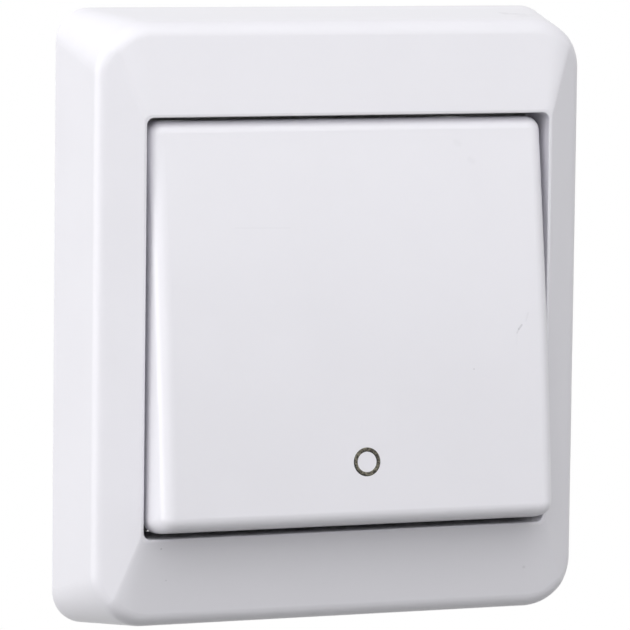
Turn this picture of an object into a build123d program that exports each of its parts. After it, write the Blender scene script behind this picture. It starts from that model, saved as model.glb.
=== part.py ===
from build123d import *
import os
from math import cos, radians, sin, tan

os.makedirs("parts", exist_ok=True)

# A surface-mounted double-pole rocker switch, in millimetres.
# X runs to the right and Z up. The wall is the plane Y = 0 and the room is at negative Y, so a
# depth in this file is how far something stands out from the wall.
# The origin is the middle of the two wall screws, on the wall.

# Cover frame
frame_width = 71.0
frame_height = 81.7
frame_depth = 16.4
frame_rise = 0.2
frame_wall = 2.0
wall_gap = 0.3
side_draft = 1.6
wall_corner_radius = 4.5
front_corner_radius = 7.6
shoulder_radius = 2.4
side_slope = 31.0
end_slope = 10.5
rim_width = 0.4
rim_rounding = 0.15
hip_spread = 0.9
opening_width = 57.0
opening_height = 55.0
opening_corner_radius = 1.0
collar_wall = 1.3
collar_depth = 7.6
gusset_wall = 1.2
gusset_spacing = 28.0

# Base plate
base_gap = 0.3
base_floor = 1.5
lip_height = 6.0
lip_wall = 1.4
back_recess = 0.8
back_rim = 2.6
back_rib = 1.4
back_rib_spacing = 24.0
screw_spacing = 60.0
screw_hole_radius = 2.1
screw_boss_radius = 4.6
screw_boss_height = 1.0
cable_entry_radius = 4.2
cable_entry_spacing_x = 40.0
cable_entry_spacing_z = 63.0
cable_entry_ring = 1.2
cable_notch_width = 16.0
breakout_skin = 0.8
hook_width = 8.0
hook_spacing = 40.0
hook_reach = 0.8
hook_depth = 3.9
hook_rise = 1.8
hook_slot = 1.2
snap_play = 0.2

# Switch housing
housing_width = 46.0
housing_height = 44.0
housing_front = 9.7
housing_floor = 1.0
housing_corner_radius = 1.5
pole_spacing = 18.0
chamber_width = 7.4
chamber_length = 25.0
chamber_divider = 1.0
well_width = 8.2
side_pocket_width = 6.0
side_pocket_height = 36.0
side_pocket_wall = 1.5
mechanism_screw_spacing = 35.0
mechanism_screw_radius = 1.4
mechanism_head_radius = 2.6
mechanism_head_height = 1.6
mechanism_boss_radius = 2.9
mechanism_boss_height = 3.2
mechanism_seat_wall = 2.4
thread_play = 0.05
mould_play = 0.2

# Bearing frame over the housing
bearing_plate = 1.5
bearing_length = 27.0
ear_wall = 3.0
ear_rim = 1.65
ear_foot = 10.0
snap_slot = 2.7
clip_wall = 1.4
clip_width = 8.0
clip_length = 4.6
clip_nose = 0.8
stop_width = 2.4
stop_height_place = 11.9
stop_gap = 0.3

# Rocker button
rest_tilt = 7.0
pivot_depth = 13.4
rocker_sweep_radius = 26.9
rocker_width = 56.2
rocker_face = 6.1
rocker_skirt = 7.6
rocker_crown_radius = 600.0
rocker_side_draft = 3.5
rocker_corner_radius = 1.85
rocker_edge_radius = 1.75
rocker_wall = 1.5
rocker_plate = 2.0
rocker_rib = 1.2
rocker_rib_height = 1.5
rocker_rib_spacing = 45.0
leg_width = 4.0
leg_wall = 1.2
leg_spacing_x = 10.0
leg_spacing_v = 20.0
leg_nose = 0.8

# Cradle and plungers
cradle_width = 34.0
cradle_height = 26.0
cradle_plate = 1.8
cradle_gap = 0.4
cheek_wall = 1.8
cheek_foot = 12.0
trunnion_radius = 1.6
trunnion_play = 0.05
cradle_side_gap = 0.4
tube_bore_radius = 1.9
tube_wall = 1.0
tube_drop = 3.5
tube_roof = 1.0
plunger_play = 0.07
plunger_body = 3.7
plunger_shoulder = 0.7
plunger_tip_radius = 1.2
plunger_bore_radius = 1.3
plunger_bore_depth = 3.0
plunger_inside = 0.9
plunger_gap = 0.3
spring_wire = 0.36
spring_turns = 6
spring_play = 0.08

# Contacts and terminals
strip = 0.8
strip_width = 5.0
bridge_tilt = 8.0
bridge_arm = 11.5
bridge_trough = 2.6
bridge_trough_depth = 1.2
bridge_lift = 0.06
contact_arm = 10.2
contact_radius = 1.7
contact_head = 0.5
contact_shank_radius = 0.9
contact_gap = 0.25
strip_bend = 14.4
strip_end = 20.6
strip_step = 4.2
cage_width = 7.4
cage_wall = 0.9
cage_start = 15.6
cage_length = 4.4
cage_lift = 0.3
terminal_screw_place = 17.8
terminal_screw_radius = 1.5
terminal_head_radius = 2.3
terminal_head_height = 1.5
terminal_head_lift = 0.3
driver_slot_width = 0.7
driver_slot_depth = 0.8

# Sizes that follow from the ones above
floor_front = back_recess + base_floor
base_width = frame_width - 2 * (frame_wall + base_gap + side_draft * lip_height / frame_depth)
base_height = frame_height - 2 * (frame_wall + base_gap + side_draft * lip_height / frame_depth)
base_corner_radius = wall_corner_radius - frame_wall + base_gap
breakout_height = lip_height + 2
gusset_run_x = (frame_width - opening_width) / 2 - frame_wall - side_draft
gusset_run_z = (frame_height - opening_height) / 2 - frame_wall - side_draft - frame_rise
gusset_place_x = opening_width / 2 + gusset_run_x / 2
gusset_place_z = opening_height / 2 + gusset_run_z / 2
housing_seat = floor_front
well_floor = housing_seat + housing_floor
well_length = (housing_height - chamber_length) / 2 - chamber_divider + mould_play
mechanism_head_seat = housing_seat + mechanism_boss_height + mechanism_seat_wall
mechanism_tip = back_recess + mould_play
bearing_front = housing_front + bearing_plate
window_length = 2 * (tube_bore_radius + tube_wall + 1.4)
clip_inside = housing_width / 2 + mould_play
clip_seat = housing_front - clip_length
cheek_radius = pivot_depth - bearing_front - stop_gap
ear_place = cradle_width / 2 + cradle_side_gap + ear_wall / 2
trunnion_length = cradle_side_gap + ear_wall + trunnion_play
strip_front = well_floor + strip
shelf_front = strip_front + strip_step
pole_place = pole_spacing / 2
rocker_back = rocker_face - rocker_skirt
rocker_rib_spacing_v = cradle_height + 8
cradle_front = rocker_face - rocker_plate - cradle_gap
cradle_back = cradle_front - cradle_plate
leg_inside = leg_spacing_v / 2 - leg_wall / 2
window_place = leg_inside + (leg_wall + leg_nose) / 2
stop_place = pole_place + tube_bore_radius + tube_wall + stop_width
stop_front = (
    pivot_depth
    + cradle_back / cos(radians(rest_tilt))
    - (stop_height_place + stop_width / 2) * tan(radians(rest_tilt))
    - stop_gap
)
bend_shift = strip * tan(radians(45 / 2))
contact_face = bridge_trough_depth - contact_head
bridge_pivot_depth = (
    strip_front
    + contact_head
    + contact_gap
    + contact_arm * sin(radians(bridge_tilt))
    - contact_face * cos(radians(bridge_tilt))
)
fixed_contact_place = contact_arm * cos(radians(bridge_tilt)) + contact_face * sin(radians(bridge_tilt))
blade_width = strip_width - 2 * mould_play
plunger_reach = pivot_depth - bridge_pivot_depth - strip - plunger_gap
plunger_radius = tube_bore_radius - plunger_play
plunger_top = -plunger_inside
spring_radius = plunger_bore_radius - spring_play - spring_wire / 2
spring_back = plunger_top - plunger_bore_depth + spring_wire / 2 + spring_play
spring_height = cradle_front - tube_roof - spring_wire / 2 - spring_play - spring_back
cage_back = well_floor + cage_lift
cage_front = shelf_front + 2 * cage_wall
terminal_head_seat = cage_front + terminal_head_lift
poles = {"left": -pole_place, "right": pole_place}
ends = {"top": 1, "bottom": -1}


def layer(depth):
    """A plane that faces the room, at this depth, with its origin on the middle of the rocker."""
    return Plane.XZ.offset(depth)


def frame_layer(depth):
    """The same, on the middle of the cover frame."""
    return Plane(origin=(0, -depth, frame_rise), x_dir=(1, 0, 0), z_dir=(0, -1, 0))


def turned(depth, tilt):
    """A plane on a pivot at this depth. A positive tilt turns its upper end towards the wall."""
    out = (0, -cos(radians(tilt)), sin(radians(tilt)))
    return Plane(origin=(0, -depth, 0), x_dir=(1, 0, 0), z_dir=out)


def side_of(seat, x=0):
    """A section plane at this X: its first axis points out of the seat and its second one up."""
    return Plane(origin=seat.origin + seat.x_dir * x, x_dir=seat.z_dir, z_dir=-seat.x_dir)


rocker_seat = turned(pivot_depth, rest_tilt)
bridge_seat = turned(bridge_pivot_depth, -bridge_tilt)


def frame_block(inset):
    """The frame's outside, or the same form taken in by a wall: a drafted block under a hipped roof."""
    front = frame_depth - inset
    drop = front - wall_gap
    land_width = opening_width + 2 * rim_width
    land_height = opening_height + 2 * rim_width
    with BuildPart() as block:
        with BuildSketch(frame_layer(wall_gap)):
            RectangleRounded(frame_width - 2 * inset, frame_height - 2 * inset, wall_corner_radius - inset)
        with BuildSketch(frame_layer(frame_depth)):
            RectangleRounded(
                frame_width - 2 * side_draft - 2 * inset,
                frame_height - 2 * side_draft - 2 * inset,
                front_corner_radius - inset,
            )
        loft(ruled=True)
        with BuildSketch(layer(wall_gap)):
            RectangleRounded(
                land_width + 2 * drop / tan(radians(side_slope)),
                land_height + 2 * drop / tan(radians(end_slope)),
                opening_corner_radius + hip_spread * drop,
            )
        with BuildSketch(layer(front)):
            RectangleRounded(land_width, land_height, opening_corner_radius)
        loft(ruled=True, mode=Mode.INTERSECT)
    return block.part


def rocker_block(half_width, sweep, face, back, corner, edge):
    """The rocker's outside or inside: a crowned face between two ends that are arcs about the pivot."""
    with BuildPart() as block:
        with BuildSketch(side_of(rocker_seat)):
            Circle(sweep)
            with Locations((face - rocker_crown_radius, 0)):
                Circle(rocker_crown_radius, mode=Mode.INTERSECT)
            with Locations((back, 0)):
                Rectangle(2 * sweep, 2 * sweep, align=(Align.MIN, Align.CENTER), mode=Mode.INTERSECT)
        extrude(amount=half_width, both=True)
        with BuildSketch(rocker_seat.offset(back)):
            Rectangle(2 * half_width, 3 * sweep)
        extrude(amount=face - back + 1, taper=rocker_side_draft, mode=Mode.INTERSECT)
        front_face = faces().sort_by(Axis(rocker_seat.origin, rocker_seat.z_dir))[-1]
        back_face = faces().sort_by(Axis(rocker_seat.origin, rocker_seat.z_dir))[0]
        fillet(edges() - front_face.edges() - back_face.edges(), radius=corner)
        front_face = faces().sort_by(Axis(rocker_seat.origin, rocker_seat.z_dir))[-1]
        fillet(front_face.edges(), radius=edge)
    return block.part


def bent_strip(seat, x, points):
    """A terminal's sheet, bent along these points of its section."""
    with BuildPart() as sheet:
        with BuildSketch(side_of(seat, x)):
            with BuildLine():
                FilletPolyline(*points, radius=strip)
            trace(line_width=strip)
        extrude(amount=strip_width / 2, both=True)
    return sheet.part


# Cover frame: a shell with four sloping facets, a collar round the opening and snap pockets
cover_outside = frame_block(0)
cover_hollow = frame_block(frame_wall)

with BuildPart() as cover_frame:
    add(cover_outside)
    roof_faces = faces().filter_by(lambda f: -0.995 < f.normal_at().Y < -0.5)
    wall_faces = faces().filter_by(lambda f: abs(f.normal_at().Y) < 0.4)
    roof_edges = ShapeList(e for f in roof_faces for e in f.edges())
    wall_edges = ShapeList(e for f in wall_faces for e in f.edges())
    fillet(roof_edges & wall_edges, radius=shoulder_radius)
    add(cover_hollow, mode=Mode.SUBTRACT)
    with BuildSketch(layer(frame_depth - collar_depth)):
        Rectangle(opening_width + 2 * collar_wall, opening_height + 2 * collar_wall)
    extrude(amount=collar_depth - frame_wall / 2)
    with BuildSketch(layer(frame_depth - collar_depth)):
        with GridLocations(gusset_place_x * 2, gusset_spacing, 2, 2):
            Rectangle(gusset_run_x, gusset_wall)
        with GridLocations(gusset_spacing, gusset_place_z * 2, 2, 2):
            Rectangle(gusset_wall, gusset_run_z)
    extrude(until=Until.NEXT)
    with BuildSketch(layer(0)):
        RectangleRounded(opening_width, opening_height, opening_corner_radius)
    extrude(amount=frame_depth + 1, mode=Mode.SUBTRACT)
    upright_faces = faces().filter_by(lambda f: abs(f.normal_at().Y) < 0.01)
    upright_edges = ShapeList(e for f in upright_faces for e in f.edges())
    rim_edges = edges().filter_by_position(Axis.Y, -frame_depth - 0.01, -frame_depth + 0.01)
    fillet(upright_edges & rim_edges, radius=rim_rounding)
    with BuildSketch(frame_layer(hook_depth - snap_play)):
        with GridLocations(2 * (base_width / 2 + base_gap), hook_spacing, 2, 2):
            Rectangle(2 * hook_reach, hook_width + 2 * snap_play)
    extrude(amount=hook_rise + 2 * snap_play, mode=Mode.SUBTRACT)
    with BuildSketch(frame_layer(wall_gap)):
        with GridLocations(0, frame_height - 2 * breakout_skin - frame_wall, 1, 2):
            Rectangle(cable_notch_width, frame_wall)
    extrude(amount=breakout_height, mode=Mode.SUBTRACT)
cover_frame.part.label = "cover_frame"
export_step(cover_frame.part, "parts/cover_frame.step")


# Base plate: a floor with a lip, ribs behind it, snap tongues, screw bosses and cable entries
with BuildPart() as base_plate:
    with BuildSketch(frame_layer(0)):
        RectangleRounded(base_width, base_height, base_corner_radius)
    extrude(amount=lip_height)
    with BuildSketch(frame_layer(floor_front)):
        RectangleRounded(base_width - 2 * lip_wall, base_height - 2 * lip_wall, base_corner_radius - lip_wall)
    extrude(amount=lip_height - floor_front, mode=Mode.SUBTRACT)
    with BuildSketch(layer(0)):
        with Locations((0, frame_rise)):
            RectangleRounded(base_width - 2 * back_rim, base_height - 2 * back_rim, base_corner_radius)
        with GridLocations(0, screw_spacing, 1, 2):
            Circle(screw_boss_radius, mode=Mode.SUBTRACT)
        with GridLocations(cable_entry_spacing_x, cable_entry_spacing_z, 2, 2):
            Circle(cable_entry_radius + cable_entry_ring, mode=Mode.SUBTRACT)
        with GridLocations(back_rib_spacing, 0, 2, 1):
            Rectangle(back_rib, frame_height, mode=Mode.SUBTRACT)
        with GridLocations(0, back_rib_spacing, 1, 2):
            Rectangle(frame_width, back_rib, mode=Mode.SUBTRACT)
    extrude(amount=back_recess, mode=Mode.SUBTRACT)
    with BuildSketch(layer(floor_front)):
        with GridLocations(0, screw_spacing, 1, 2):
            Circle(screw_boss_radius)
    extrude(amount=screw_boss_height)
    with BuildSketch(layer(floor_front)):
        with GridLocations(0, mechanism_screw_spacing, 1, 2):
            Circle(mechanism_boss_radius)
    extrude(amount=mechanism_boss_height)
    with BuildSketch(layer(0)):
        with GridLocations(0, screw_spacing, 1, 2):
            Circle(screw_hole_radius)
        with GridLocations(cable_entry_spacing_x, cable_entry_spacing_z, 2, 2):
            Circle(cable_entry_radius)
    extrude(amount=lip_height, mode=Mode.SUBTRACT)
    with BuildSketch(layer(back_recess)):
        with GridLocations(0, mechanism_screw_spacing, 1, 2):
            Circle(mechanism_screw_radius + thread_play)
    extrude(amount=base_floor + mechanism_boss_height, mode=Mode.SUBTRACT)
    with BuildSketch(frame_layer(floor_front)):
        with GridLocations(0, base_height, 1, 2):
            Rectangle(cable_notch_width, 4 * lip_wall)
        with GridLocations(base_width, hook_spacing - hook_width - hook_slot, 2, 2):
            Rectangle(4 * lip_wall, hook_slot)
        with GridLocations(base_width, hook_spacing + hook_width + hook_slot, 2, 2):
            Rectangle(4 * lip_wall, hook_slot)
    extrude(amount=lip_height, mode=Mode.SUBTRACT)
    for side in (-1, 1):
        for place in (-1, 1):
            with BuildSketch(Plane.XY.offset(frame_rise + place * hook_spacing / 2)):
                Polygon(
                    (side * (base_width / 2 - lip_wall / 2), -hook_depth),
                    (side * (base_width / 2 + hook_reach), -hook_depth),
                    (side * (base_width / 2 + hook_reach), -hook_depth - hook_rise / 4),
                    (side * base_width / 2, -hook_depth - hook_rise),
                    (side * (base_width / 2 - lip_wall / 2), -hook_depth - hook_rise),
                    align=None,
                )
            extrude(amount=hook_width / 2, both=True)
base_plate.part.label = "base_plate"
export_step(base_plate.part, "parts/base_plate.step")


# Switch housing: a moulded block with a chamber for each pole and a well for each terminal
with BuildPart() as switch_housing:
    with BuildSketch(layer(housing_seat)):
        RectangleRounded(housing_width, housing_height, housing_corner_radius)
    extrude(amount=housing_front - housing_seat)
    with BuildSketch(layer(well_floor)):
        with GridLocations(pole_spacing, 0, 2, 1):
            Rectangle(chamber_width, chamber_length)
        with GridLocations(pole_spacing, chamber_length + 2 * chamber_divider + well_length, 2, 2):
            Rectangle(well_width, well_length)
    extrude(amount=housing_front - well_floor, mode=Mode.SUBTRACT)
    with BuildSketch(layer(well_floor)):
        with GridLocations(pole_spacing, chamber_length + chamber_divider, 2, 2):
            Rectangle(strip_width + 2 * mould_play, 2 * chamber_divider)
    extrude(amount=strip + mould_play, mode=Mode.SUBTRACT)
    with BuildSketch(layer(well_floor)):
        with GridLocations(housing_width - side_pocket_width - 2 * side_pocket_wall, 0, 2, 1):
            Rectangle(side_pocket_width, side_pocket_height)
    extrude(amount=housing_front - well_floor, mode=Mode.SUBTRACT)
    with BuildSketch(layer(housing_seat)):
        with GridLocations(0, mechanism_screw_spacing, 1, 2):
            Circle(mechanism_boss_radius + mould_play)
    extrude(amount=mechanism_boss_height + mould_play, mode=Mode.SUBTRACT)
    with BuildSketch(layer(housing_seat)):
        with GridLocations(0, mechanism_screw_spacing, 1, 2):
            Circle(mechanism_screw_radius + mould_play)
    extrude(amount=housing_front - housing_seat, mode=Mode.SUBTRACT)
    with BuildSketch(layer(mechanism_head_seat)):
        with GridLocations(0, mechanism_screw_spacing, 1, 2):
            Circle(mechanism_head_radius + mould_play)
    extrude(amount=housing_front - mechanism_head_seat, mode=Mode.SUBTRACT)
    with BuildSketch(layer(clip_seat - clip_nose - snap_play)):
        with GridLocations(housing_width, 0, 2, 1):
            Rectangle(2 * clip_nose, clip_width + 2 * snap_play)
    extrude(amount=2 * clip_nose + 2 * snap_play, mode=Mode.SUBTRACT)
switch_housing.part.label = "switch_housing"
export_step(switch_housing.part, "parts/switch_housing.step")


# Bearing frame: a lid over the chambers with two open ears for the trunnions, stops and clips
with BuildPart() as bearing_frame:
    with BuildSketch(layer(housing_front)):
        RectangleRounded(housing_width, bearing_length, housing_corner_radius)
        with GridLocations(pole_spacing, 0, 2, 1):
            RectangleRounded(chamber_width, window_length, housing_corner_radius, mode=Mode.SUBTRACT)
    extrude(amount=bearing_plate)
    for side in (-1, 1):
        with BuildSketch(side_of(layer(pivot_depth), side * ear_place)):
            Circle(trunnion_radius + trunnion_play + ear_rim)
            with BuildLine():
                Polyline(
                    (bearing_front - pivot_depth - bearing_plate / 2, -ear_foot / 2),
                    (0, -trunnion_radius - trunnion_play - ear_rim),
                    (0, trunnion_radius + trunnion_play + ear_rim),
                    (bearing_front - pivot_depth - bearing_plate / 2, ear_foot / 2),
                    close=True,
                )
            make_face()
            Circle(trunnion_radius + trunnion_play, mode=Mode.SUBTRACT)
            with Locations((2 * ear_rim, 0)):
                Rectangle(4 * ear_rim, snap_slot, mode=Mode.SUBTRACT)
        extrude(amount=ear_wall / 2, both=True)
    with BuildSketch(layer(bearing_front)):
        with GridLocations(2 * stop_place, 2 * stop_height_place, 2, 2):
            Rectangle(stop_width, stop_width)
    extrude(amount=stop_front - bearing_front)
    for side in (-1, 1):
        with BuildSketch(Plane.XY):
            Polygon(
                (side * (housing_width / 2 - clip_wall), -bearing_front),
                (side * (clip_inside + clip_wall), -bearing_front),
                (side * (clip_inside + clip_wall), -clip_seat + clip_nose),
                (side * (clip_inside + clip_wall / 2), -clip_seat + clip_nose),
                (side * (clip_inside - clip_nose), -clip_seat),
                (side * clip_inside, -clip_seat - clip_nose),
                (side * clip_inside, -housing_front),
                (side * (housing_width / 2 - clip_wall), -housing_front),
                align=None,
            )
        extrude(amount=clip_width / 2, both=True)
bearing_frame.part.label = "bearing_frame"
export_step(bearing_frame.part, "parts/bearing_frame.step")


# Rocker button: a crowned shell with ribs and four snap legs for the cradle
rocker_outside = rocker_block(
    rocker_width / 2, rocker_sweep_radius, rocker_face, rocker_back, rocker_corner_radius, rocker_edge_radius
)
rocker_hollow = rocker_block(
    rocker_width / 2 - rocker_wall,
    rocker_sweep_radius - rocker_wall,
    rocker_face - rocker_plate,
    rocker_back - 1,
    rocker_corner_radius - rocker_wall,
    (rocker_corner_radius - rocker_wall) / 2,
)

with BuildPart() as rocker_button:
    add(rocker_outside)
    add(rocker_hollow, mode=Mode.SUBTRACT)
    with BuildSketch(rocker_seat.offset(rocker_face - rocker_plate - rocker_rib_height)):
        with GridLocations(rocker_rib_spacing, 0, 2, 1):
            Rectangle(rocker_rib, 2 * (rocker_sweep_radius - rocker_wall))
        with GridLocations(0, rocker_rib_spacing_v, 1, 2):
            Rectangle(rocker_width - 2 * rocker_wall, rocker_rib)
    extrude(amount=rocker_rib_height + rocker_plate / 2)
    for x in (-leg_spacing_x / 2, leg_spacing_x / 2):
        with BuildSketch(side_of(rocker_seat, x)):
            with BuildLine():
                Polyline(
                    (rocker_face - rocker_plate / 2, leg_inside),
                    (rocker_face - rocker_plate / 2, leg_inside + leg_wall),
                    (cradle_back - snap_play, leg_inside + leg_wall),
                    (cradle_back - snap_play, leg_inside + leg_wall + leg_nose),
                    (cradle_back - snap_play - leg_nose, leg_inside + leg_wall / 2),
                    (cradle_back - snap_play - leg_nose, leg_inside),
                    close=True,
                )
            make_face()
            mirror(about=Plane.XZ)
        extrude(amount=leg_width / 2, both=True)
rocker_button.part.label = "rocker_button"
export_step(rocker_button.part, "parts/rocker_button.step")


# Rocker cradle: the plate under the button, with trunnions and two tubes for the plungers
with BuildPart() as rocker_cradle:
    with BuildSketch(rocker_seat.offset(cradle_back)):
        RectangleRounded(cradle_width, cradle_height, cheek_wall)
        with GridLocations(leg_spacing_x, 2 * window_place, 2, 2):
            Rectangle(leg_width + 2 * mould_play, leg_wall + leg_nose + 2 * mould_play, mode=Mode.SUBTRACT)
    extrude(amount=cradle_plate)
    with BuildSketch(rocker_seat.offset(-tube_drop)):
        with GridLocations(pole_spacing, 0, 2, 1):
            Circle(tube_bore_radius + tube_wall)
    extrude(amount=tube_drop + cradle_front)
    for side in (-1, 1):
        with BuildSketch(side_of(rocker_seat, side * (cradle_width - cheek_wall) / 2)):
            Circle(cheek_radius)
            with BuildLine():
                Polyline(
                    (cradle_back + cradle_plate / 2, -cheek_foot / 2),
                    (0, -cheek_radius),
                    (0, cheek_radius),
                    (cradle_back + cradle_plate / 2, cheek_foot / 2),
                    close=True,
                )
            make_face()
        extrude(amount=cheek_wall / 2, both=True)
        with BuildSketch(side_of(rocker_seat, side * (cradle_width / 2 + trunnion_length / 2))):
            Circle(trunnion_radius)
        extrude(amount=trunnion_length / 2, both=True)
    with BuildSketch(rocker_seat.offset(0)):
        Rectangle(cradle_width - cheek_wall, cheek_wall)
    extrude(amount=cradle_back + cradle_plate / 2)
    with BuildSketch(rocker_seat.offset(-tube_drop)):
        with GridLocations(pole_spacing, 0, 2, 1):
            Circle(tube_bore_radius)
    extrude(amount=tube_drop + cradle_front - tube_roof, mode=Mode.SUBTRACT)
rocker_cradle.part.label = "rocker_cradle"
export_step(rocker_cradle.part, "parts/rocker_cradle.step")


# Plungers and their springs, one of each for a pole
for name, x in poles.items():
    with BuildPart() as plunger:
        with BuildSketch(side_of(rocker_seat, x)):
            with BuildLine():
                Polyline(
                    (plunger_top - plunger_bore_depth, 0),
                    (plunger_top - plunger_bore_depth, plunger_bore_radius),
                    (plunger_top, plunger_bore_radius),
                    (plunger_top, plunger_radius),
                    (plunger_top - plunger_body, plunger_radius),
                    (plunger_top - plunger_body - plunger_shoulder, plunger_tip_radius),
                    (plunger_tip_radius - plunger_reach, plunger_tip_radius),
                )
                RadiusArc(
                    (plunger_tip_radius - plunger_reach, plunger_tip_radius),
                    (-plunger_reach, 0),
                    -plunger_tip_radius,
                )
                Line((-plunger_reach, 0), (plunger_top - plunger_bore_depth, 0))
            make_face()
        revolve(axis=Axis(side_of(rocker_seat, x).origin, rocker_seat.z_dir))
    plunger.part.label = f"plunger_{name}"
    export_step(plunger.part, f"parts/plunger_{name}.step")

    with BuildPart() as plunger_spring:
        with BuildLine() as coil:
            Helix(
                pitch=spring_height / spring_turns,
                height=spring_height,
                radius=spring_radius,
                center=side_of(rocker_seat.offset(spring_back), x).origin,
                direction=rocker_seat.z_dir,
            )
        with BuildSketch(Plane(origin=coil.line @ 0, z_dir=coil.line % 0)):
            Circle(spring_wire / 2)
        sweep(path=coil.line, is_frenet=True)
    plunger_spring.part.label = f"plunger_spring_{name}"
    export_step(plunger_spring.part, f"parts/plunger_spring_{name}.step")


# Contact bridges: a bent strip that rocks on its terminal's blade, with a riveted contact
for name, x in poles.items():
    with BuildPart() as contact_bridge:
        with BuildSketch(side_of(bridge_seat, x)):
            with BuildLine():
                Polyline(
                    (0, 0),
                    (0, bridge_trough + bend_shift),
                    (bridge_trough_depth, bridge_trough + bend_shift + bridge_trough_depth),
                    (bridge_trough_depth, bridge_arm),
                    (bridge_trough_depth + strip, bridge_arm),
                    (bridge_trough_depth + strip, bridge_trough + bridge_trough_depth),
                    (strip, bridge_trough),
                    (strip, 0),
                    close=True,
                )
            make_face()
            mirror(about=Plane.XZ)
            Circle(strip / 2 + bridge_lift, mode=Mode.SUBTRACT)
        extrude(amount=strip_width / 2, both=True)
        with BuildSketch(bridge_seat):
            with Locations((x, -contact_arm)):
                Circle(contact_shank_radius + thread_play)
        extrude(amount=2 * bridge_trough_depth, mode=Mode.SUBTRACT)
    contact_bridge.part.label = f"contact_bridge_{name}"
    export_step(contact_bridge.part, f"parts/contact_bridge_{name}.step")

    with BuildPart() as moving_contact:
        with BuildSketch(bridge_seat.offset(contact_face)):
            with Locations((x, -contact_arm)):
                Circle(contact_radius)
        extrude(amount=contact_head)
        fillet(edges().sort_by(Axis(bridge_seat.origin, bridge_seat.z_dir))[0], radius=contact_head * 0.8)
        with BuildSketch(bridge_seat.offset(bridge_trough_depth)):
            with Locations((x, -contact_arm)):
                Circle(contact_shank_radius)
        extrude(amount=strip + thread_play)
        with BuildSketch(bridge_seat.offset(bridge_trough_depth + strip + thread_play)):
            with Locations((x, -contact_arm)):
                Circle(contact_shank_radius * 1.3)
        extrude(amount=contact_head / 2)
    moving_contact.part.label = f"moving_contact_{name}"
    export_step(moving_contact.part, f"parts/moving_contact_{name}.step")

    with BuildPart() as fixed_contact:
        with BuildSketch(layer(strip_front)):
            with Locations((x, -fixed_contact_place)):
                Circle(contact_radius)
        extrude(amount=contact_head)
        with BuildSketch(layer(well_floor)):
            with Locations((x, -fixed_contact_place)):
                Circle(contact_shank_radius)
        extrude(amount=strip)
    fixed_contact.part.label = f"fixed_contact_{name}"
    export_step(fixed_contact.part, f"parts/fixed_contact_{name}.step")


# Terminals: the upper one of each pole carries the bridge's blade, the lower one the fixed contact
for name, x in poles.items():
    upper_sheet = bent_strip(
        layer(0),
        x,
        [
            (well_floor + strip / 2, -strip / 2),
            (well_floor + strip / 2, strip_bend),
            (shelf_front - strip / 2, strip_bend),
            (shelf_front - strip / 2, strip_end),
        ],
    )
    with BuildPart() as terminal_top:
        add(upper_sheet)
        with BuildSketch(side_of(layer(0), x)):
            with Locations((bridge_pivot_depth, 0)):
                Circle(strip / 2)
            with Locations((well_floor, 0)):
                Rectangle(bridge_pivot_depth - well_floor, strip, align=(Align.MIN, Align.CENTER))
        extrude(amount=blade_width / 2, both=True)
    terminal_top.part.label = f"terminal_{name}_top"
    export_step(terminal_top.part, f"parts/terminal_{name}_top.step")

    lower_sheet = bent_strip(
        layer(0),
        x,
        [
            (well_floor + strip / 2, contact_radius - fixed_contact_place + strip / 2),
            (well_floor + strip / 2, -strip_bend),
            (shelf_front - strip / 2, -strip_bend),
            (shelf_front - strip / 2, -strip_end),
        ],
    )
    with BuildPart() as terminal_bottom:
        add(lower_sheet)
        with BuildSketch(layer(well_floor)):
            with Locations((x, -fixed_contact_place)):
                Circle(contact_shank_radius + thread_play)
        extrude(amount=strip, mode=Mode.SUBTRACT)
    terminal_bottom.part.label = f"terminal_{name}_bottom"
    export_step(terminal_bottom.part, f"parts/terminal_{name}_bottom.step")

    for end, sign in ends.items():
        with BuildPart() as terminal_cage:
            with BuildSketch(Plane.XY.offset(sign * (cage_start + cage_length / 2))):
                with Locations((x, -(cage_back + cage_front) / 2)):
                    RectangleRounded(cage_width, cage_front - cage_back, cage_wall / 2)
                    Rectangle(
                        cage_width - 2 * cage_wall, cage_front - cage_back - 2 * cage_wall, mode=Mode.SUBTRACT
                    )
            extrude(amount=cage_length / 2, both=True)
            with BuildSketch(layer(cage_front - 2 * cage_wall)):
                with Locations((x, sign * terminal_screw_place)):
                    Circle(terminal_screw_radius + thread_play)
            extrude(amount=3 * cage_wall, mode=Mode.SUBTRACT)
        terminal_cage.part.label = f"terminal_cage_{name}_{end}"
        export_step(terminal_cage.part, f"parts/terminal_cage_{name}_{end}.step")


# Slotted screws: four that clamp the wires and two that hold the housing on the base
with BuildPart() as terminal_screws:
    with BuildSketch(layer(shelf_front + thread_play)):
        with GridLocations(pole_spacing, 2 * terminal_screw_place, 2, 2):
            Circle(terminal_screw_radius)
    extrude(amount=terminal_head_seat - shelf_front - thread_play)
    with BuildSketch(layer(terminal_head_seat)):
        with GridLocations(pole_spacing, 2 * terminal_screw_place, 2, 2):
            Circle(terminal_head_radius)
    extrude(amount=terminal_head_height)
    with BuildSketch(layer(terminal_head_seat + terminal_head_height - driver_slot_depth)):
        with GridLocations(pole_spacing, 2 * terminal_screw_place, 2, 2):
            Rectangle(2 * terminal_head_radius + 1, driver_slot_width)
    extrude(amount=driver_slot_depth, mode=Mode.SUBTRACT)
terminal_screws.part.label = "terminal_screws"
export_step(terminal_screws.part, "parts/terminal_screws.step")

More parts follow.
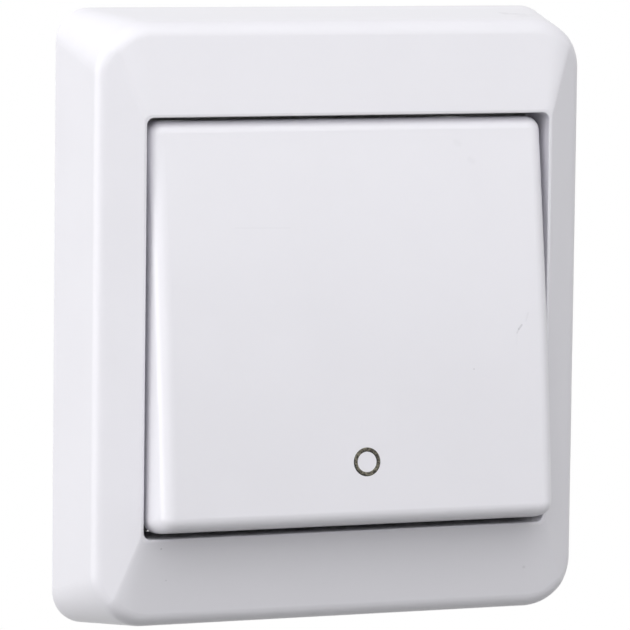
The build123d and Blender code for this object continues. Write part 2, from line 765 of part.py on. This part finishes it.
with BuildPart() as mechanism_screws:
    with BuildSketch(layer(mechanism_tip)):
        with GridLocations(0, mechanism_screw_spacing, 1, 2):
            Circle(mechanism_screw_radius)
    extrude(amount=mechanism_head_seat - mechanism_tip)
    with BuildSketch(layer(mechanism_head_seat)):
        with GridLocations(0, mechanism_screw_spacing, 1, 2):
            Circle(mechanism_head_radius)
    extrude(amount=mechanism_head_height)
    with BuildSketch(layer(mechanism_head_seat + mechanism_head_height - driver_slot_depth)):
        with GridLocations(0, mechanism_screw_spacing, 1, 2):
            Rectangle(2 * mechanism_head_radius + 1, driver_slot_width)
    extrude(amount=driver_slot_depth, mode=Mode.SUBTRACT)
mechanism_screws.part.label = "mechanism_screws"
export_step(mechanism_screws.part, "parts/mechanism_screws.step")
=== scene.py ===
from math import cos, pi, radians, sin

import bmesh
import bpy
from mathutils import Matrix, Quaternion, Vector
from mathutils.bvhtree import BVHTree


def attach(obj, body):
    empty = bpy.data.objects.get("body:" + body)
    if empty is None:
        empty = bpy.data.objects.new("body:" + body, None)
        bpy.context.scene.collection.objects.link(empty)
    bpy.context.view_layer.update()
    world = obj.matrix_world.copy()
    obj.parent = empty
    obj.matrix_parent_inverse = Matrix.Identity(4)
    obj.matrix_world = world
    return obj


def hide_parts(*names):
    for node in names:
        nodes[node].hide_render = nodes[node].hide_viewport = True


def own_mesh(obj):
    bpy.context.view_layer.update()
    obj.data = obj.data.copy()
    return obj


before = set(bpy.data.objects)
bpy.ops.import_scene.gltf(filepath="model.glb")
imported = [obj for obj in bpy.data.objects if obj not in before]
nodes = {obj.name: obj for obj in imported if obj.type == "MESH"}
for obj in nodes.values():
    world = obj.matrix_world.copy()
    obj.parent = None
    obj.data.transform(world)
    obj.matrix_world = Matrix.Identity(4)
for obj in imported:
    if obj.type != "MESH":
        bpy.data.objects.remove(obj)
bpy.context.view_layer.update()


# Short calls that add shader nodes
def new_material(name, rough, specular=0.5, metallic=0.0):
    """A material with a surface shader, and the tree that more nodes go into."""
    made = bpy.data.materials.new(name)
    made.use_nodes = True
    tree = made.node_tree
    shader = tree.nodes["Principled BSDF"]
    shader.inputs["Metallic"].default_value = metallic
    shader.inputs["Roughness"].default_value = rough
    shader.inputs["Specular IOR Level"].default_value = specular
    return made, tree, shader


def place_of(tree):
    """Coordinates in the row frame, in metres, as vectors."""
    return tree.nodes.new("ShaderNodeTexCoord").outputs["Object"]


def noise(tree, vector, scale, detail=3.0, rough=0.55, stretch=None):
    """Soft noise with this many cells to the metre. A low stretch draws its cells out along that axis."""
    if stretch:
        mapping = tree.nodes.new("ShaderNodeMapping")
        mapping.inputs["Scale"].default_value = stretch
        tree.links.new(vector, mapping.inputs["Vector"])
        vector = mapping.outputs["Vector"]
    node = tree.nodes.new("ShaderNodeTexNoise")
    node.inputs["Scale"].default_value = scale
    node.inputs["Detail"].default_value = detail
    node.inputs["Roughness"].default_value = rough
    tree.links.new(vector, node.inputs["Vector"])
    return node.outputs["Fac"]


def ramp(tree, value, low, high, out_low=0.0, out_high=1.0, smooth=True):
    """Maps low..high to out_low..out_high, clamped."""
    node = tree.nodes.new("ShaderNodeMapRange")
    node.interpolation_type = "SMOOTHSTEP" if smooth else "LINEAR"
    node.inputs["From Min"].default_value = low
    node.inputs["From Max"].default_value = high
    node.inputs["To Min"].default_value = out_low
    node.inputs["To Max"].default_value = out_high
    tree.links.new(value, node.inputs["Value"])
    return node.outputs["Result"]


def maths(tree, kind, a, b=0.0):
    """One step of arithmetic on sockets or numbers."""
    node = tree.nodes.new("ShaderNodeMath")
    node.operation = kind
    for socket, value in zip(node.inputs, (a, b)):
        if isinstance(value, (int, float)):
            socket.default_value = value
        else:
            tree.links.new(value, socket)
    return node.outputs["Value"]


def vector_maths(tree, kind, a, b=(0.0, 0.0, 0.0), result="Vector"):
    """One step of arithmetic on vectors, each a tuple or a socket."""
    node = tree.nodes.new("ShaderNodeVectorMath")
    node.operation = kind
    for socket, value in zip(node.inputs, (a, b)):
        if isinstance(value, tuple):
            socket.default_value = value
        else:
            tree.links.new(value, socket)
    return node.outputs[result]


def mix(tree, factor, a, b):
    """A colour between a and b, each a colour or a socket."""
    node = tree.nodes.new("ShaderNodeMix")
    node.data_type = "RGBA"
    tree.links.new(factor, node.inputs["Factor"])
    colour_in = [s for s in node.inputs if s.type == "RGBA"]
    for socket, value in zip(colour_in, (a, b)):
        if isinstance(value, tuple):
            socket.default_value = (*value, 1)
        else:
            tree.links.new(value, socket)
    return [s for s in node.outputs if s.type == "RGBA"][0]


def bump(tree, shader, height, depth):
    """Adds a fine relief of this depth in metres."""
    node = tree.nodes.new("ShaderNodeBump")
    node.inputs["Distance"].default_value = depth
    tree.links.new(height, node.inputs["Height"])
    tree.links.new(node.outputs["Normal"], shader.inputs["Normal"])


def flat_offset(tree, at, point):
    """The way from a point, given by X and Z, to each place on a face that looks forward."""
    offset = vector_maths(tree, "SUBTRACT", at, (point[0], 0.0, point[1]))
    return vector_maths(tree, "MULTIPLY", offset, (1.0, 0.0, 1.0))


# Small marks on the white plastic
scuff_grey = (0.20, 0.20, 0.23)


def stroke(tree, at, start, end, half_width, soft_edge):
    """1 along a short stroke on a face that looks forward and 0 off it. Its ends are X and Z."""
    run = (end[0] - start[0], 0.0, end[1] - start[1])
    offset = flat_offset(tree, at, start)
    along = vector_maths(tree, "DOT_PRODUCT", offset, run, "Value")
    share = ramp(tree, along, 0.0, run[0] ** 2 + run[2] ** 2, smooth=False)
    nearest = vector_maths(tree, "MULTIPLY", share, run)
    away = vector_maths(tree, "DISTANCE", offset, nearest, "Value")
    return ramp(tree, away, half_width, half_width + soft_edge, 1.0, 0.0)


def marked(tree, at, colour, marks):
    """The colour with marks on it. Each mark is its two ends, half width, soft edge and depth of tone."""
    for start, end, half_width, soft_edge, tone in marks:
        on_mark = stroke(tree, at, start, end, half_width, soft_edge)
        colour = mix(tree, maths(tree, "MULTIPLY", on_mark, tone), colour, scuff_grey)
    return colour


frame_marks = (
    ((-0.02605, -0.02875), (-0.02600, -0.02875), 0.00004, 0.00012, 0.35),
    ((-0.02505, -0.03307), (-0.02500, -0.03307), 0.00004, 0.00010, 0.2),
    ((0.02625, -0.03371), (0.02632, -0.03371), 0.00008, 0.00022, 0.15),
)
button_marks = (
    ((0.02347, -0.00047), (0.02303, -0.00099), 0.00004, 0.00016, 0.28),
    ((0.02303, -0.00099), (0.02275, -0.00150), 0.00003, 0.00014, 0.16),
    ((0.02275, -0.00150), (0.02263, -0.00300), 0.00002, 0.00014, 0.03),
    ((0.02445, 0.00108), (0.02412, 0.00010), 0.00003, 0.00018, 0.07),
    ((0.01632, -0.00606), (0.01638, -0.00606), 0.00003, 0.00010, 0.3),
    ((0.01500, 0.02380), (0.01545, 0.02350), 0.00010, 0.00050, 0.04),
    ((0.01690, 0.02150), (0.01730, 0.02120), 0.00010, 0.00050, 0.04),
    ((-0.01679, 0.01315), (-0.00911, 0.01299), 0.00001, 0.00010, 0.05),
)
smudge_ends = ((0.0255, 0.0405), (0.0290, 0.0405))
smudge_half_width = 0.0002
smudge_soft_edge = 0.0005
smudge_tone = 0.18


def smudged(tree, at, colour):
    """The colour with a streaky smudge on the frame's upper edge."""
    on_edge = stroke(tree, at, *smudge_ends, smudge_half_width, smudge_soft_edge)
    streaks = ramp(tree, noise(tree, at, 700.0, 3.0, 0.6, (0.4, 0.5, 1.0)), 0.45, 0.7)
    tone = maths(tree, "MULTIPLY", streaks, smudge_tone)
    return mix(tree, maths(tree, "MULTIPLY", on_edge, tone), colour, scuff_grey)


# Plastics. All gloss stays rougher than 0.275, so that the noise filter treats each surface in one way
mottle_cells = 60.0


def plastic(name, colour, rough, grain_cells, grain_depth, tint=0.02, marks=(), smudge=False):
    """Moulded plastic: a soft mottle in its colour and gloss, over a fine moulded grain."""
    made, tree, shader = new_material(name, rough)
    at = place_of(tree)
    mottle = noise(tree, at, mottle_cells, 4.0)
    darker = tuple(c * (1 - tint) for c in colour)
    lighter = tuple(c * (1 + tint) for c in colour)
    shown = marked(tree, at, mix(tree, ramp(tree, mottle, 0.3, 0.7), darker, lighter), marks)
    if smudge:
        shown = smudged(tree, at, shown)
    tree.links.new(shown, shader.inputs["Base Color"])
    gloss = ramp(tree, mottle, 0.25, 0.75, rough * 0.92, rough * 1.08)
    tree.links.new(gloss, shader.inputs["Roughness"])
    bump(tree, shader, noise(tree, at, grain_cells, 2.0, 0.5), grain_depth)
    return made


cover_white = plastic(
    "cover_white", (0.79, 0.782, 0.828), 0.32, 700.0, 0.000002, tint=0.008, marks=frame_marks, smudge=True
)
button_white = plastic(
    "button_white", (0.825, 0.817, 0.865), 0.305, 700.0, 0.0000015, tint=0.008, marks=button_marks
)
base_white = plastic("base_white", (0.70, 0.70, 0.69), 0.42, 1500.0, 0.00001)
housing_dark = plastic("housing_dark", (0.035, 0.035, 0.037), 0.5, 1800.0, 0.00002, tint=0.05)
cradle_natural = plastic("cradle_natural", (0.62, 0.60, 0.54), 0.4, 1500.0, 0.00001)
plunger_natural = plastic("plunger_natural", (0.72, 0.70, 0.63), 0.32, 1500.0, 0.00001)


# Metals
drawing_depth = 0.000006


def metal(name, colour, rough, stretch, stain):
    """Sheet or wire metal: drawing lines one way, small stains and uneven gloss."""
    made, tree, shader = new_material(name, rough, metallic=1.0)
    at = place_of(tree)
    lines = noise(tree, at, 900.0, 3.0, 0.6, stretch)
    worn = ramp(tree, noise(tree, at, 420.0, 5.0, 0.65), 0.52, 0.75)
    tree.links.new(mix(tree, worn, colour, stain), shader.inputs["Base Color"])
    drawn = ramp(tree, lines, 0.3, 0.7, rough * 0.8, rough * 1.25)
    gloss = maths(tree, "ADD", drawn, maths(tree, "MULTIPLY", worn, 0.12))
    tree.links.new(gloss, shader.inputs["Roughness"])
    bump(tree, shader, lines, drawing_depth)
    return made


brass = metal("stamped_brass", (0.80, 0.60, 0.28), 0.36, (0.1, 1.0, 1.0), (0.55, 0.37, 0.16))
silver = metal("contact_silver", (0.84, 0.83, 0.80), 0.35, (1.0, 1.0, 1.0), (0.62, 0.60, 0.56))
spring_wire = metal("spring_wire", (0.62, 0.61, 0.58), 0.35, (1.0, 1.0, 0.15), (0.42, 0.40, 0.37))
plated = metal("zinc_plated_steel", (0.68, 0.67, 0.62), 0.37, (1.0, 0.2, 1.0), (0.55, 0.52, 0.42))

# What each CAD node wears
worn_by = {
    "cover_frame": cover_white,
    "rocker_button": button_white,
    "base_plate": base_white,
    "switch_housing": housing_dark,
    "bearing_frame": housing_dark,
    "rocker_cradle": cradle_natural,
    "terminal_screws": plated,
    "mechanism_screws": plated,
}
for side in ("left", "right"):
    worn_by[f"plunger_{side}"] = plunger_natural
    worn_by[f"plunger_spring_{side}"] = spring_wire
    worn_by[f"contact_bridge_{side}"] = brass
    worn_by[f"moving_contact_{side}"] = silver
    worn_by[f"fixed_contact_{side}"] = silver
    for end in ("top", "bottom"):
        worn_by[f"terminal_{side}_{end}"] = brass
        worn_by[f"terminal_cage_{side}_{end}"] = plated
for name, material in worn_by.items():
    for held in nodes[name].material_slots:
        held.material = material


def shortening_spring(side):
    """A copy of one CAD spring that stands for it and follows its plunger."""
    coil_mesh = nodes[f"plunger_spring_{side}"].data.copy()
    coil = bpy.data.objects.new(f"spring_coil_{side}", coil_mesh)
    bpy.context.collection.objects.link(coil)
    coil_mesh.materials.clear()
    coil_mesh.materials.append(spring_wire)
    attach(coil, "rocker")
    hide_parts(f"plunger_spring_{side}")
    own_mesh(coil)


for side in ("left", "right"):
    shortening_spring(side)


# The ring mark, printed low on the button
ring_place = (0.00071, -0.01768)
ring_outer = 0.00188
ring_inner = 0.00134
ring_steps = 96
ink_height = 0.000012
ink_crown = 0.000016
ink_foot = 0.00002
ink_sunk = -0.00003
ring_middle = (ring_inner + ring_outer) / 2
ring_profile = (
    (ring_inner - ink_foot, ink_sunk),
    (ring_inner, ink_height),
    (ring_middle, ink_crown),
    (ring_outer, ink_height),
    (ring_outer + ink_foot, ink_sunk),
)


def surface_of(node):
    """A node's surface, to lay things on."""
    mesh = nodes[node].data
    return BVHTree.FromPolygons([v.co for v in mesh.vertices], [p.vertices for p in mesh.polygons])


def laid(surface, x, z, lift):
    """The point on the surface that faces forward at this X and Z, raised by lift."""
    hit, normal, _, _ = surface.ray_cast(Vector((x, -0.1, z)), Vector((0, 1, 0)))
    return hit + normal * lift


def ring_sheet(surface):
    """The ring's mesh: its profile laid on the surface step by step round the ring."""
    sheet = bmesh.new()
    rows = []
    for step in range(ring_steps):
        turn = 2 * pi * step / ring_steps
        row = []
        for radius, lift in ring_profile:
            x = ring_place[0] + radius * cos(turn)
            z = ring_place[1] + radius * sin(turn)
            row.append(sheet.verts.new(laid(surface, x, z, lift)))
        rows.append(row)
    for here, there in zip(rows, rows[1:] + rows[:1]):
        for a in range(len(ring_profile) - 1):
            sheet.faces.new((here[a], there[a], there[a + 1], here[a + 1]))
    bmesh.ops.recalc_face_normals(sheet, faces=sheet.faces)
    mesh = bpy.data.meshes.new("ring_mark")
    sheet.to_mesh(mesh)
    sheet.free()
    for face in mesh.polygons:
        face.use_smooth = True
    return mesh


def mark_ink():
    """The ring's ink: speckled, with painted shade that turns its inner edge towards the upper right and
    its outer edge towards the lower left near black.
    """
    ink, tree, shader = new_material("mark_ink", 0.6, specular=0.25)
    at = place_of(tree)
    speckle = ramp(tree, noise(tree, at, 2600.0, 3.0, 0.65), 0.4, 0.62)
    offset = flat_offset(tree, at, ring_place)
    across = maths(tree, "SUBTRACT", vector_maths(tree, "LENGTH", offset, result="Value"), ring_middle)
    side = vector_maths(tree, "DOT_PRODUCT", offset, (0.75, 0.0, 0.66), "Value")
    reach = ring_middle * (ring_outer - ring_inner)
    # Painted shade: 1 along the inner edge towards the upper right and the outer edge towards the lower
    # left, standing for the shaded walls of a sunk ring
    painted_edge_shade = ramp(tree, maths(tree, "MULTIPLY", across, side), -0.05 * reach, -0.35 * reach)
    shade = mix(tree, speckle, (0.04, 0.035, 0.03), (0.215, 0.2, 0.15))
    # Painted shade: the ink turns near black where that mask is 1
    shown = mix(tree, maths(tree, "MULTIPLY", painted_edge_shade, 0.85), shade, (0.012, 0.012, 0.014))
    tree.links.new(shown, shader.inputs["Base Color"])
    bump(tree, shader, speckle, 0.00001)
    return ink


ring_mark = bpy.data.objects.new("ring_mark", ring_sheet(surface_of("rocker_button")))
bpy.context.collection.objects.link(ring_mark)
ring_mark.data.materials.append(mark_ink())
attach(ring_mark, "rocker")


def seen_directly(tree):
    """1 for what the camera, gloss and glass see, and 0 for light on matt surfaces."""
    path = tree.nodes.new("ShaderNodeLightPath")
    either = maths(tree, "MAXIMUM", path.outputs["Is Camera Ray"], path.outputs["Is Glossy Ray"])
    return maths(tree, "MAXIMUM", either, path.outputs["Is Transmission Ray"])


# Floor, well below a switch that is seen as if it hung free
floor_width = 6
floor_depth = 0.25
floor_grey = 0.2
bpy.ops.mesh.primitive_plane_add(size=floor_width, location=(0, 0, -floor_depth))
floor = bpy.context.active_object
floor.name = "floor"
floor_paint, tree, shader = new_material("floor_paint", 0.9)
shader.inputs["Base Color"].default_value = (floor_grey, floor_grey, floor_grey, 1)
glow = tree.nodes.new("ShaderNodeEmission")
blend = tree.nodes.new("ShaderNodeMixShader")
tree.links.new(seen_directly(tree), blend.inputs["Fac"])
tree.links.new(shader.outputs["BSDF"], blend.inputs[1])
tree.links.new(glow.outputs["Emission"], blend.inputs[2])
tree.links.new(blend.outputs["Shader"], tree.nodes["Material Output"].inputs["Surface"])
floor.data.materials.append(floor_paint)

# World: a low even light, stronger from behind, and plain white where it is seen
even_light = 0.12
light_from_behind = 0.4
world = bpy.data.worlds.new("studio")
bpy.context.scene.world = world
world.use_nodes = True
tree = world.node_tree
tree.nodes.clear()
out = tree.nodes.new("ShaderNodeOutputWorld")
way = tree.nodes.new("ShaderNodeTexCoord").outputs["Generated"]
toward_back = vector_maths(tree, "DOT_PRODUCT", way, (0.0, 1.0, 0.0), "Value")
behind = maths(tree, "MAXIMUM", toward_back, 0.0)
level = maths(tree, "ADD", maths(tree, "MULTIPLY", behind, light_from_behind), even_light)
light = tree.nodes.new("ShaderNodeBackground")
light.inputs["Color"].default_value = (1, 1, 1, 1)
tree.links.new(level, light.inputs["Strength"])
seen = tree.nodes.new("ShaderNodeBackground")
seen.inputs["Color"].default_value = (1, 1, 1, 1)
choice = tree.nodes.new("ShaderNodeMixShader")
tree.links.new(seen_directly(tree), choice.inputs["Fac"])
tree.links.new(light.outputs["Background"], choice.inputs[1])
tree.links.new(seen.outputs["Background"], choice.inputs[2])
tree.links.new(choice.outputs["Shader"], out.inputs["Surface"])

# Soft boxes round the switch: each one's way out from it, and the light that it gives a face turned to it
box_distance = 1.1
box_size = 1.0
soft_boxes = (
    ("side_box", (-1.0, 0.3, 0.1), 0.75),
    ("top_box", (-0.1, -0.35, 0.9), 0.35),
    ("front_box", (0.1, -0.8, 0.55), 0.49),
    ("left_box", (-0.75, -0.62, 0.45), 0.41),
    ("right_box", (0.8, -0.6, 0.3), 0.1),
)


def softbox(name, place, power):
    """A square lamp at this place that faces the switch."""
    lamp = bpy.data.lights.new(name, "AREA")
    lamp.shape = "SQUARE"
    lamp.size = box_size
    lamp.energy = power
    held = bpy.data.objects.new(name, lamp)
    bpy.context.collection.objects.link(held)
    held.location = place
    held.rotation_euler = (-place).to_track_quat("-Z", "Y").to_euler()


for name, way_out, share in soft_boxes:
    softbox(name, Vector(way_out).normalized() * box_distance, share * (pi * box_distance) ** 2)

# Camera at the photograph's view: its place, the point it looks at, and its turn about that line
camera_place = Vector((-0.25024, -0.62118, 0.0691))
camera_aim = Vector((-0.002275, -0.01, 0.000609))
camera_roll = radians(0.692)
camera = bpy.data.cameras.new("camera")
camera.sensor_width = 36.0
camera.lens = 285.8
camera.clip_start = 0.01
camera_held = bpy.data.objects.new("camera", camera)
bpy.context.collection.objects.link(camera_held)
level_view = (camera_aim - camera_place).to_track_quat("-Z", "Y")
camera_held.location = camera_place
camera_held.rotation_euler = (level_view @ Quaternion((0, 0, 1), camera_roll)).to_euler()
scene = bpy.context.scene
scene.camera = camera_held
scene.view_settings.view_transform = "Standard"
